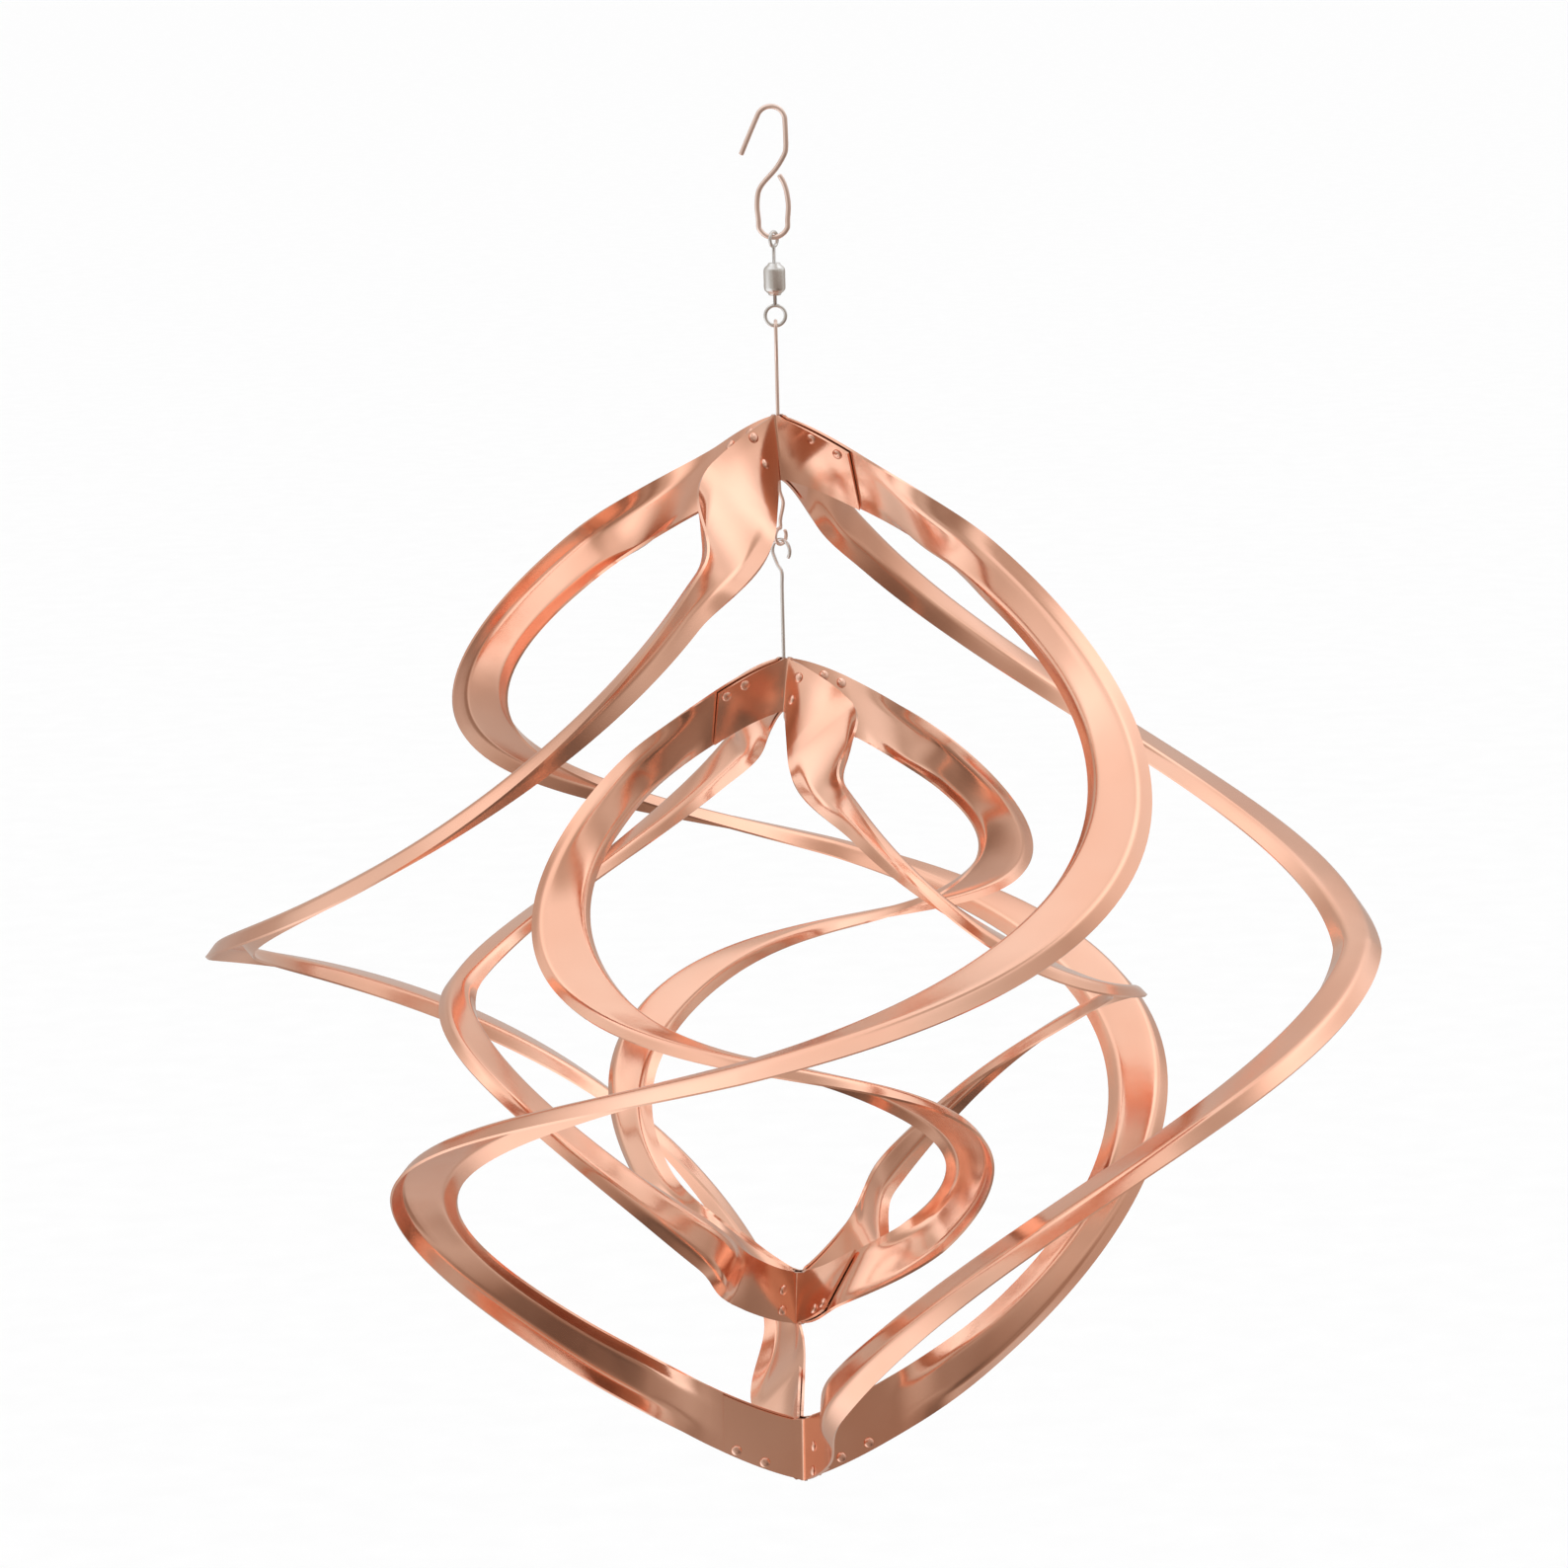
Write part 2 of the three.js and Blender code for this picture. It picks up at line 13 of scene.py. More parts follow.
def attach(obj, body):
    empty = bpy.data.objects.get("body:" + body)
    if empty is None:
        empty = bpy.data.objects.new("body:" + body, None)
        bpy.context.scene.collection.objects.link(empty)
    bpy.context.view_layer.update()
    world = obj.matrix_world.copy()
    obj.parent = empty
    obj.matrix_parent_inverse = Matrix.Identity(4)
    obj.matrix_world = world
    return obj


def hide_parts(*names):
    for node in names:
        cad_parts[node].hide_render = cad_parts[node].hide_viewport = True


MM = 0.001
UP = Vector((0, 0, 1))

# ---------- dimensions, the same as the CAD unless a comment says otherwise ----------
GAP = 0.3
SHEET = 0.8
HOOK_R = 0.7
HANGER_R = 0.5
PIN_R = 0.5
WELL_R = HANGER_R + GAP
BLADE_SHIFT = WELL_R - GAP - SHEET / 2
TAB_MARGIN = 0.5
LAG_KNEE = 0.15               # the inner edge's lag settles within this share of half height
SHIFT_FADE = 10               # near the cage's middle the blade's shift fades out over this height

# The end blades are bent by hand, so each ribbon has its own turn there: outer edge, inner edge.
OUTER = dict(
    name="outer", hand=1, centre_z=-236.9, facing=-4.7,
    out_r=165, out_h=152.5, out_power=1.3,
    in_r=152, in_h=134.5, in_power=1.3,
    turn_scale=30.2, turn_knee=0.13,
    inner_lag=10.8, inner_lead=20.4,
    top_turns=[(70, 80), (45, 90), (50, 92), (66, 98)],
    bottom_turns=[(70, 66), (80, 76), (56, 88), (82, 80)],
    flat_r=24, blend_r=62, lip=5, lip_bend=45, lip_full_r=46, tab=22.5,
    stacked=[(11, 5.4), (11, 12.6)],
    slanted=[(11, 5.8), (19, 9.7)],
)
INNER = dict(
    name="inner", hand=-1, centre_z=-247.9, facing=-8.9,
    out_r=99.8, out_h=95.5, out_power=1.4,
    in_r=90.4, in_h=80.5, in_power=1.33,
    turn_scale=21.7, turn_knee=0.074,
    inner_lag=17.5, inner_lead=36.4,
    top_turns=[(33, 80), (50, 74), (42, 70), (58, 74)],
    bottom_turns=[(38, 60), (34, 66), (50, 62), (30, 66)],
    flat_r=22, blend_r=50, lip=3.6, lip_bend=45, lip_full_r=38, tab=20.5,
    stacked=[(7, 5.0), (7, 11.0)],
    slanted=[(12.5, 6.3), (18, 8.9)],
)
RIBBON_COUNT = 4
HALF_STATIONS = 110           # stations from the middle of a ribbon to its end blade
BLADE_STEPS = 14              # stations on an end blade
STATION_GAP = 4               # least step from the blade's stations to the next one
BLADE_START = 3               # where the end blades' stations begin
FOLD = 1.0                    # how far the rounded bend reaches from the corner
FOLD_STEPS = 5
CREASE = 1.3                  # how far the rounded crease reaches from its corner
CREASE_SHARE = 0.3            # but never past this share of the web
CREASE_STEPS = 5
LIP_MIDDLE = 0.45             # where a lip has its middle point, from the tip
WEB_STEPS = 6
CROWN = 0.25                  # how far the web bulges

RIVET_SHANK_R = 0.7
RIVET_HEAD_R = 1.5
RIVET_HEAD_H = 0.7
RIVET_PLAY = 0.1              # the CAD has 0.3; closer here, so that the heads look seated
SHANK_INSET = 0.02            # the shank starts this far off the heads

HOOK_CROWN_R = 3.9
HOOK_CROWN_FROM = 153         # degrees round the crown, from the open end
HOOK_CROWN_TO = -1
CAD_CROWN_STEPS = 11          # the CAD crown is faceted; its facets set the seat height
CAD_WIRE_SIDES = 8
HOOK_LOOP_R = 4.2
LOOP_BOTTOM_Z = -35.3
UPPER_RING_R = 2.0
LOWER_RING_R = 2.8
BARREL_TOP_Z = -42.3
BARREL_BOTTOM_Z = -51.3
BARREL_R = 3
BARREL_END_R = 1.7
BARREL_WALL = 1.3
BARREL_BORE_R = 2.1
HEAD_R = 1.6                  # captive head inside the barrel
HEAD_H = 1.4
HEAD_BEVEL = 0.3              # the CAD has 0.4; hidden inside the barrel
STEM_REACH = 3.3
HANGER_EYE_HALF = 1.6
HANGER_EYE_LENGTH = 11
LOW_EYE_TOP = -115.9
LOW_EYE_R = 2.3
LOW_EYE_TILT = 50
INNER_HOOK_R = 3.1
INNER_HOOK_TILT = -40
CROWN_STEPS = 28
WIRE_SIDES = 20
RIVET_SIDES = 16
STEM_SIDES = 24
AXIS_R = 1e-3                 # points on a turned piece's axis stand this far off it
BARREL_SIDES = 40

# ---------- the camera, as the photograph was taken ----------
CAMERA_ELEVATION = 11.48
CAMERA_ROLL = -1.39
CAMERA_DISTANCE = 1724.0      # from the outer cage's middle
CAMERA_LENS = 140.8
CAMERA_SENSOR = 36
CAMERA_PITCH = 1.597          # aimed this far above the outer cage's middle
CAMERA_YAW = 0.026            # and this far to the left of it


# ---------- small maths ----------
def rad(degrees):
    return math.radians(degrees)


def direction(degrees):
    return Vector((math.cos(rad(degrees)), math.sin(rad(degrees)), 0))


def sign(x):
    return (x > 0) - (x < 0)


def smooth(x, low, high):
    s = min(max((x - low) / (high - low), 0), 1)
    return s * s * (3 - 2 * s)


def arc(centre_x, centre_z, radius, from_deg, to_deg, steps):
    angles = [rad(from_deg + (to_deg - from_deg) * i / steps) for i in range(steps + 1)]
    return [(centre_x + radius * math.cos(a), centre_z + radius * math.sin(a)) for a in angles]


def in_plane(pairs, azimuth):
    across = direction(azimuth)
    return [across * x + UP * z for x, z in pairs]


def rounded_path(points, steps):
    """A smooth curve through the points. Its pull at both ends of a span is the span's chord."""
    result = []
    last = len(points) - 1
    for i in range(last):
        p0 = points[max(i - 1, 0)]
        p1 = points[i]
        p2 = points[i + 1]
        p3 = points[min(i + 2, last)]
        chord = (p2 - p1).length
        m1 = (p2 - p0).normalized() * chord
        m2 = (p3 - p1).normalized() * chord
        for k in range(steps):
            t = k / steps
            a = 2 * t ** 3 - 3 * t ** 2 + 1
            b = t ** 3 - 2 * t ** 2 + t
            c = -2 * t ** 3 + 3 * t ** 2
            d = t ** 3 - t ** 2
            result.append(p1 * a + m1 * b + p2 * c + m2 * d)
    result.append(points[last].copy())
    return result


# ---------- meshes ----------
def make_piece(name, points, faces, uvs, node, body, slot, material, creases=()):
    """A mesh object in metres that stands for one CAD node and rides on its body."""
    mesh = bpy.data.meshes.new(name)
    mesh.from_pydata([tuple(p * MM) for p in points], [], faces)
    layer = mesh.uv_layers.new(name="strip")
    for loop in mesh.loops:
        layer.data[loop.index].uv = uvs[loop.vertex_index]
    mesh.polygons.foreach_set("use_smooth", [True] * len(mesh.polygons))
    sharp = set(creases)
    for edge in mesh.edges:
        a, b = edge.vertices
        if (min(a, b), max(a, b)) in sharp:
            edge.use_edge_sharp = True
    mesh.validate()
    piece = bpy.data.objects.new(name, mesh)
    bpy.context.scene.collection.objects.link(piece)
    piece.data.materials.append(material)
    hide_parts(node)
    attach(piece, body)
    return piece


def ring_faces(ring_count, size, closed):
    faces = []
    spans = ring_count if closed else ring_count - 1
    for i in range(spans):
        a = i * size
        b = ((i + 1) % ring_count) * size
        for j in range(size):
            k = (j + 1) % size
            faces.append((a + j, a + k, b + k, b + j))
    if not closed:
        faces.append(tuple(range(size))[::-1])
        faces.append(tuple(range((ring_count - 1) * size, ring_count * size)))
    return faces


def turned(profile, sides):
    """Points, faces and uvs of a solid of revolution about Z from (radius, z) pairs, axis to axis."""
    points = []
    uvs = []
    for r, z in profile:
        for j in range(sides):
            points.append(direction(360 * j / sides) * max(r, AXIS_R) + UP * z)
            uvs.append((j / sides, z / 10))
    return points, ring_faces(len(profile), sides, False), uvs


def tube(path, radius, closed=False):
    """Points, faces and uvs of a round wire along a path. An open one has domed ends."""
    count = len(path)
    tangents = []
    for i in range(count):
        before = path[(i - 1) % count] if closed else path[max(i - 1, 0)]
        after = path[(i + 1) % count] if closed else path[min(i + 1, count - 1)]
        tangents.append((after - before).normalized())
    side = tangents[0].orthogonal().normalized()
    points = []
    uvs = []
    travelled = 0.0
    stations = [(p, t, radius) for p, t in zip(path, tangents)]
    if not closed:
        stations = domed_ends(stations, radius)
    for i, (p, t, r) in enumerate(stations):
        side = (side - t * side.dot(t)).normalized()
        other = t.cross(side)
        if i:
            travelled += (p - stations[i - 1][0]).length
        for j in range(WIRE_SIDES):
            angle = 2 * math.pi * j / WIRE_SIDES
            points.append(p + side * (r * math.cos(angle)) + other * (r * math.sin(angle)))
            uvs.append((travelled / 10, j / WIRE_SIDES))
    return points, ring_faces(len(stations), WIRE_SIDES, closed), uvs


def domed_ends(stations, radius):
    """The stations with a few shrinking ones before and after them."""
    steps = (20, 45, 70, 88)
    first, first_t, _ = stations[0]
    last, last_t, _ = stations[-1]
    back = radius * 0.5
    start = []
    finish = []
    for a in steps:
        lift = back * math.sin(rad(a))
        size = radius * math.cos(rad(a))
        start.insert(0, (first - first_t * lift, first_t, size))
        finish.append((last + last_t * lift, last_t, size))
    return start + stations + finish


def join(*parts):
    points = []
    faces = []
    uvs = []
    for p, f, u in parts:
        offset = len(points)
        points += p
        faces += [tuple(i + offset for i in face) for face in f]
        uvs += u
    return points, faces, uvs


# ---------- ribbons ----------
def apex_turn(cage, index, inner, end):
    turns = cage["top_turns"] if end > 0 else cage["bottom_turns"]
    return end * turns[index % RIBBON_COUNT][1 if inner else 0]


def place_on_blade(cage, index, inner, r, z):
    s = z / cage["out_h"]
    turn = cage["turn_scale"] * math.asinh(s / cage["turn_knee"])
    if inner:
        turn += cage["inner_lead"] * s - cage["inner_lag"] * math.tanh(s / LAG_KNEE)
    settled = apex_turn(cage, index, inner, sign(z))
    share = smooth(r, cage["flat_r"], cage["blend_r"])
    turn = settled + (turn - settled) * share
    shift = BLADE_SHIFT * math.tanh(z / SHIFT_FADE)
    return direction(turn) * r + direction(turn - 90) * shift + UP * z


def edge_point(cage, index, inner, share):
    """share runs from +1 at the top end blade to -1 at the bottom one."""
    prefix = "in" if inner else "out"
    reach = cage[prefix + "_r"]
    height = cage[prefix + "_h"]
    power = cage[prefix + "_power"]
    last = math.acos((WELL_R / reach) ** (power / 2))
    t = abs(share) * last
    r = reach * math.cos(t) ** (2 / power)
    z = sign(share) * height * math.sin(t) ** (2 / power)
    return place_on_blade(cage, index, inner, r, z)


def blade_height(cage, prefix, r):
    power = cage[prefix + "_power"]
    return cage[prefix + "_h"] * (1 - (r / cage[prefix + "_r"]) ** power) ** (1 / power)


def blade_station(cage, index, end, r):
    """Both edges of the end blade at one distance from the axis."""
    out = place_on_blade(cage, index, False, r, end * blade_height(cage, "out", r))
    inn = place_on_blade(cage, index, True, r, end * blade_height(cage, "in", r))
    return dict(out=out, inn=inn)


def with_normals(cage, stations):
    """The sheet's normal at each edge, and how far the lips are bent."""
    last = len(stations) - 1
    for i, s in enumerate(stations):
        across = s["out"] - s["inn"]
        for edge in ("out", "inn"):
            along = stations[max(i - 1, 0)][edge] - stations[min(i + 1, last)][edge]
            s[edge + "_normal"] = across.cross(along).normalized()
        middle = (s["out"] + s["inn"]) / 2
        r = math.hypot(middle.x, middle.y)
        s["bend"] = cage["lip_bend"] * smooth(r, cage["flat_r"], cage["lip_full_r"])
    return stations


def main_stations(cage, index):
    """From the top end blade, round the ribbon's middle, to the bottom end blade."""
    reach = cage["tab"] - BLADE_START
    radii = [BLADE_START + reach * i / BLADE_STEPS for i in range(BLADE_STEPS + 1)]
    top = [blade_station(cage, index, 1, r) for r in radii]
    bottom = [blade_station(cage, index, -1, r) for r in reversed(radii)]
    around = []
    for i in range(2 * HALF_STATIONS + 1):
        share = 1 - i / HALF_STATIONS
        out = edge_point(cage, index, False, share)
        if math.hypot(out.x, out.y) > cage["tab"] + STATION_GAP:
            around.append(dict(out=out, inn=edge_point(cage, index, True, share)))
    return with_normals(cage, top + around + bottom)


def neighbour(cage, index, end):
    """The ribbon whose end blade carries this ribbon's tab, a quarter turn away."""
    return (index + end * cage["hand"]) % RIBBON_COUNT


def tab_stations(cage, index, end):
    """The tab lies on the neighbouring blade, one gap away, and bends round beside the axis."""
    main = main_stations(cage, neighbour(cage, index, end))
    blade = main[:BLADE_STEPS + 1] if end > 0 else main[:-BLADE_STEPS - 2:-1]
    quarter = Matrix.Rotation(rad(end * 90), 3, "Z")
    lift = end * (SHEET + GAP)
    stations = []
    for s in reversed(blade):
        out_normal = quarter @ s["out_normal"]
        inn_normal = quarter @ s["inn_normal"]
        across = quarter @ (s["out"] - s["inn"]).normalized()
        stations.append(dict(
            out=quarter @ s["out"] + out_normal * lift - across * TAB_MARGIN,
            inn=quarter @ s["inn"] + inn_normal * lift + across * TAB_MARGIN,
            out_normal=-out_normal, inn_normal=-inn_normal, bend=0.0))
    for i in range(FOLD_STEPS + 1):
        stations.append(fold_station(cage, index, end, i / FOLD_STEPS))
    return stations


def fold_station(cage, index, end, t):
    """One row of the rounded bend, from the tab's plane (t = 0) to the blade's (t = 1)."""
    station = dict(bend=0.0)
    for edge, inner, height in (("out", False, cage["out_h"]), ("inn", True, cage["in_h"])):
        blade_turn = apex_turn(cage, index, inner, end)
        tab_turn = apex_turn(cage, neighbour(cage, index, end), inner, end) + end * 90
        blade = direction(blade_turn - 90)
        tab = direction(tab_turn - 90)
        blade_reach = end * BLADE_SHIFT
        tab_reach = end * (WELL_R + SHEET / 2)
        spread = blade.x * tab.y - blade.y * tab.x
        corner = Vector(((blade_reach * tab.y - tab_reach * blade.y) / spread,
                         (tab_reach * blade.x - blade_reach * tab.x) / spread, end * height))
        start = corner + direction(tab_turn) * FOLD
        stop = corner + direction(blade_turn) * FOLD
        station[edge] = start.lerp(corner, t).lerp(corner.lerp(stop, t), t)
        along = (corner - start).lerp(stop - corner, t)
        station[edge + "_normal"] = along.cross(UP).normalized()
    return station


def ribbon_stations(cage, index):
    main = main_stations(cage, index)
    return tab_stations(cage, index, 1) + main + tab_stations(cage, index, -1)[::-1]


def section(width, lip, bend):
    """Mid-line of the ribbon's section as (across, rise, slope) from the outer tip to the inner tip."""
    c, s = math.cos(bend), math.sin(bend)
    corners = [
        Vector((width, 0)),
        Vector((width - lip * c, lip * s)),
        Vector((lip * c, lip * s)),
        Vector((0, 0)),
    ]
    round_off = min(CREASE, (width - 2 * lip * c) * CREASE_SHARE)
    line = [corners[0].copy(), corners[0].lerp(corners[1], LIP_MIDDLE)]
    for k in (1, 2):
        into = (corners[k] - corners[k - 1]).normalized()
        away = (corners[k + 1] - corners[k]).normalized()
        start = corners[k] - into * round_off
        stop = corners[k] + away * round_off
        for j in range(CREASE_STEPS + 1):
            t = j / CREASE_STEPS
            a = start.lerp(corners[k], t)
            b = corners[k].lerp(stop, t)
            line.append(a.lerp(b, t))
        if k == 1:
            far = corners[2] - (corners[2] - corners[1]).normalized() * round_off
            for j in range(1, WEB_STEPS):
                line.append(stop.lerp(far, j / WEB_STEPS))
    line += [corners[3].lerp(corners[2], LIP_MIDDLE), corners[3].copy()]
    rows = []
    for i, p in enumerate(line):
        before = line[max(i - 1, 0)]
        after = line[min(i + 1, len(line) - 1)]
        run = (after - before).normalized()
        middle_share = (p.x - width / 2) / (width / 2)
        bulge = CROWN * (1 - middle_share ** 2) * math.sin(bend)
        rows.append((p.x, p.y + bulge, math.atan2(run.y, -run.x)))
    return rows


def ribbon_mesh(cage, index):
    stations = ribbon_stations(cage, index)
    points = []
    uvs = []
    travelled = 0.0
    before = None
    half = SHEET / 2
    for s in stations:
        middle = (s["out"] + s["inn"]) / 2
        if before is not None:
            travelled += (middle - before).length
        before = middle
        across = s["out"] - s["inn"]
        width = across.length
        across.normalize()
        rows = section(width, cage["lip"], rad(s["bend"]))
        face = []
        back = []
        for x, rise, slope in rows:
            unit = s["inn_normal"].lerp(s["out_normal"], x / width).normalized()
            centre = s["inn"] + across * x + unit * rise
            out = (unit * math.cos(slope) + across * math.sin(slope)) * half
            face.append((centre + out, x))
            back.append((centre - out, x))
        ring = face + back[::-1]
        size = len(ring)
        for p, x in ring:
            points.append(p)
            uvs.append((travelled / 100, x / 100))
    rings = len(stations)
    row = size // 2
    creases = set()
    for i in range(rings - 1):
        a, b = i * size, (i + 1) * size
        for j in (0, row - 1, row, size - 1):
            creases.add((a + j, b + j))
    for start in (0, (rings - 1) * size):
        for j in range(size):
            k = (j + 1) % size
            creases.add((start + min(j, k), start + max(j, k)))
    return points, ring_faces(rings, size, False), uvs, creases


def rivet_spot(cage, index, end, place):
    r, depth = place
    step = 0.5
    near, here, far = (blade_station(cage, index, end, r + step * i) for i in (-1, 0, 1))
    across = here["out"] - here["inn"]
    high = abs(here["out"].z)
    share = (high - (cage["out_h"] - depth)) / (high - abs(here["inn"].z))
    along = (near["out"] - far["out"]).lerp(near["inn"] - far["inn"], share)
    return here["out"].lerp(here["inn"], share), across.cross(along).normalized()


def rivet_mesh(spot):
    """A shank with a domed head on each side of blade and tab."""
    point, outward = spot
    back = -SHEET / 2 - RIVET_PLAY
    front = SHEET / 2 + GAP + SHEET + RIVET_PLAY
    dome = []
    for a in (90, 72, 54, 36, 18, 6):
        dome.append((RIVET_HEAD_R * math.cos(rad(a)), RIVET_HEAD_H * math.sin(rad(a))))
    profile = [(r, back - h) for r, h in dome]
    profile += [(RIVET_HEAD_R, back), (RIVET_SHANK_R, back + SHANK_INSET)]
    profile += [(RIVET_SHANK_R, front - SHANK_INSET), (RIVET_HEAD_R, front)]
    profile += [(r, front + h) for r, h in reversed(dome)]
    points, faces, uvs = turned(profile, RIVET_SIDES)
    turn = UP.rotation_difference(outward).to_matrix()
    return [turn @ p + point for p in points], faces, uvs


def place_in_cage(points, faces, cage, index):
    """Mirrored for the other hand, turned to its place round the axis, and dropped to its height."""
    turn = Matrix.Rotation(rad(cage["facing"] + 90 * index), 3, "Z")
    if cage["hand"] < 0:
        points = [Vector((p.x, -p.y, p.z)) for p in points]
        faces = [tuple(reversed(f)) for f in faces]
    lift = UP * cage["centre_z"]
    return [turn @ p + lift for p in points], faces


def build_cage(cage, body, sheet_material, rivet_material):
    for index in range(RIBBON_COUNT):
        points, faces, uvs, creases = ribbon_mesh(cage, index)
        placed, turned_faces = place_in_cage(points, faces, cage, index)
        node = f"{cage['name']}_ribbon_{index + 1}"
        make_piece("skin_" + node, placed, turned_faces, uvs, node, body, "copper_sheet",
                   sheet_material, creases)
        places = cage["stacked"] if index % 2 == 0 else cage["slanted"]
        for where, end in (("top", 1), ("bottom", -1)):
            for j, place in enumerate(places):
                head_points, head_faces, head_uvs = rivet_mesh(rivet_spot(cage, index, end, place))
                placed, turned_faces = place_in_cage(head_points, head_faces, cage, index)
                node = f"{cage['name']}_{where}_rivet_{2 * index + j + 1}"
                make_piece("skin_" + node, placed, turned_faces, head_uvs, node, body, "rivet",
                           rivet_material)


# ---------- hook, swivel and wires ----------
def hook_path():
    facet_in = HOOK_R * math.cos(rad(180 / CAD_WIRE_SIDES))
    half_step = (HOOK_CROWN_FROM - HOOK_CROWN_TO) / CAD_CROWN_STEPS / 2
    centre_z = facet_in - HOOK_CROWN_R * math.cos(rad(half_step))
    crown = arc(0, centre_z, HOOK_CROWN_R, HOOK_CROWN_FROM, HOOK_CROWN_TO, CROWN_STEPS)
    free = [(-8.3, -12.2), (-5.7, -6.3)]
    shank = [(4, -7.5), (3.9, -11.4), (3.1, -13.4), (0.9, -16.7), (-2.7, -20.6), (-3.9, -22.9),
             (-4.3, -26.8), (-4.0, -30.6)]
    bottom = arc(0, LOOP_BOTTOM_Z + HOOK_LOOP_R, HOOK_LOOP_R, 200, 340, 9)
    loop_up = [(4.0, -30.6), (4.3, -26.8), (3.9, -22.9), (3.1, -20.2), (2.1, -18.4)]
    pairs = free + crown + shank + bottom + loop_up
    return rounded_path(in_plane(pairs, 0), 4)


def swivel_eye(ring_z, ring_r, azimuth, stem_from, head_z, way):
    circle = arc(0, ring_z, ring_r, 0, 360, 48)[:48]
    ring = tube(in_plane(circle, azimuth), PIN_R, closed=True)
    near = head_z - way * HEAD_H / 2
    far = head_z + way * HEAD_H / 2
    stem = turned([(0, stem_from), (PIN_R, stem_from), (PIN_R, near), (HEAD_R, near),
                   (HEAD_R, far - way * HEAD_BEVEL), (HEAD_R - HEAD_BEVEL, far), (0, far)],
                  STEM_SIDES)
    if way < 0:
        points, faces, uvs = stem
        stem = (points, [tuple(reversed(f)) for f in faces], uvs)
    return join(ring, stem)


def swivel_barrel():
    """A squat drum with rounded shoulders, a rolled lip at each end and open bores."""
    hole = PIN_R + GAP
    middle = (BARREL_TOP_Z + BARREL_BOTTOM_Z) / 2
    half = (BARREL_TOP_Z - BARREL_BOTTOM_Z) / 2
    side = [(hole, half - 0.5), (hole + 0.15, half - 0.1), (hole + 0.4, half),
            (BARREL_END_R - 0.2, half), (BARREL_END_R, half - 0.15), (BARREL_END_R + 0.1, half - 0.5),
            (2.3, half - 0.9), (2.75, half - 1.35), (BARREL_R - 0.05, half - 1.8),
            (BARREL_R, half - 2.3)]
    outside = [(r, middle + z) for r, z in side]
    outside += [(r, middle - z) for r, z in reversed(side)]
    inside_z = half - BARREL_WALL
    inside = [(hole, middle - inside_z), (BARREL_BORE_R, middle - inside_z),
              (BARREL_BORE_R, middle + inside_z), (hole, middle + inside_z)]
    profile = outside + inside
    points = []
    uvs = []
    for r, z in profile:
        for j in range(BARREL_SIDES):
            points.append(direction(360 * j / BARREL_SIDES) * r + UP * z)
            uvs.append((j / BARREL_SIDES, z / 10))
    faces = [tuple(reversed(f)) for f in ring_faces(len(profile), BARREL_SIDES, True)]
    return points, faces, uvs


def outer_hanger_path(eye_top):
    centre_z = eye_top - HANGER_EYE_HALF
    neck_z = eye_top - HANGER_EYE_LENGTH
    pairs = [(HANGER_EYE_HALF, centre_z - 5.5)]
    pairs += arc(0, centre_z, HANGER_EYE_HALF, 0, 180, 12)
    pairs += [(-HANGER_EYE_HALF, centre_z - 4.5), (-HANGER_EYE_HALF * 0.6, centre_z - 6.8), (0, neck_z)]
    line = in_plane(pairs, 90)
    under = OUTER["centre_z"] + OUTER["in_h"]
    line += [Vector((0, 0, neck_z - 6)), Vector((0, 0, under + 6)), Vector((0, 0, under - 3))]
    line += [Vector((0.9, 0, under - 6.5)), Vector((0, 0, LOW_EYE_TOP + 2.2))]
    loop = arc(0, LOW_EYE_TOP - LOW_EYE_R, LOW_EYE_R, 90, 395, 24)
    return rounded_path(line + in_plane(loop, LOW_EYE_TILT), 6)


def inner_hanger_path():
    seat_z = LOW_EYE_TOP - 2 * LOW_EYE_R + 2 * HANGER_R + GAP
    hook = arc(0, seat_z - INNER_HOOK_R, INNER_HOOK_R, -35, 205, 22)
    neck_z = seat_z - 2.9 * INNER_HOOK_R
    under = INNER["centre_z"] + INNER["in_h"]
    apex = INNER["centre_z"] + INNER["out_h"]
    line = in_plane(hook + [(-1.4, seat_z - 2.3 * INNER_HOOK_R), (0, neck_z)], INNER_HOOK_TILT)
    line += [Vector((0, 0, neck_z - 4)), Vector((0, 0, apex)), Vector((0, 0, under - 1.5))]
    line += in_plane([(0.4, under - 2.6), (1.5, under - 3.1), (4.5, under - 3.1)], INNER_HOOK_TILT)
    return rounded_path(line, 6)


# ---------- materials ----------
DRIFT_SCALE = 18              # noise scales: tone drift, smudges, rolling lines, ripple
SMUDGE_SCALE = 95
LINE_SCALE = 60
LINE_STRETCH = (1, 26, 1)
RIPPLE_SCALE = 55
GRAIN_DEPTH = 0.00002         # metres
RIPPLE_DEPTH = 0.0006
RIPPLE_STRENGTH = 0.25


def new_material(name):
    material = bpy.data.materials.new(name)
    material.use_nodes = True
    tree = material.node_tree
    return material, tree.nodes, tree.links, tree.nodes["Principled BSDF"]


def noise(nodes, links, vector, scale, detail, stretch=(1, 1, 1)):
    mapping = nodes.new("ShaderNodeMapping")
    mapping.inputs["Scale"].default_value = stretch
    links.new(vector, mapping.inputs["Vector"])
    texture = nodes.new("ShaderNodeTexNoise")
    texture.inputs["Scale"].default_value = scale
    texture.inputs["Detail"].default_value = detail
    links.new(mapping.outputs["Vector"], texture.inputs["Vector"])
    return texture.outputs["Fac"]


def remap(nodes, links, value, low, high, to_low, to_high):
    node = nodes.new("ShaderNodeMapRange")
    node.inputs["From Min"].default_value = low
    node.inputs["From Max"].default_value = high
    node.inputs["To Min"].default_value = to_low
    node.inputs["To Max"].default_value = to_high
    links.new(value, node.inputs["Value"])
    return node.outputs["Result"]


